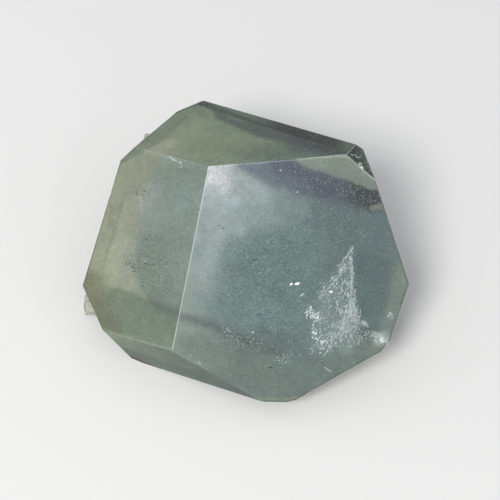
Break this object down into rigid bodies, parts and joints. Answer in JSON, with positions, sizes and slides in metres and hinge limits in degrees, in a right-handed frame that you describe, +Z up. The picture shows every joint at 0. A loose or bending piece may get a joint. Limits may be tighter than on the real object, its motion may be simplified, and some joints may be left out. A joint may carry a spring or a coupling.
{
  "type": "phantom quartz crystal",
  "caption": "Clear faceted quartz crystal with a cloudy grey-green phantom inside, lying on its flat base.",
  "frame": {"origin": "middle of the footprint, on the surface that the crystal rests on", "axes": "+X to the right across the large window facet and the longest side, +Y away from the window facet, +Z up"},
  "size_m": [0.0498, 0.0469, 0.0228],
  "materials": {
    "quartz": "clear to cloudy quartz with flat, faintly scratched faces",
    "host_rock": "matt chalky white rock, rough"
  },
  "bodies": {
    "root": {"crystal": "quartz", "left_rock_crumb": "host_rock", "back_rock_crumb": "host_rock"}
  },
  "joints": []
}
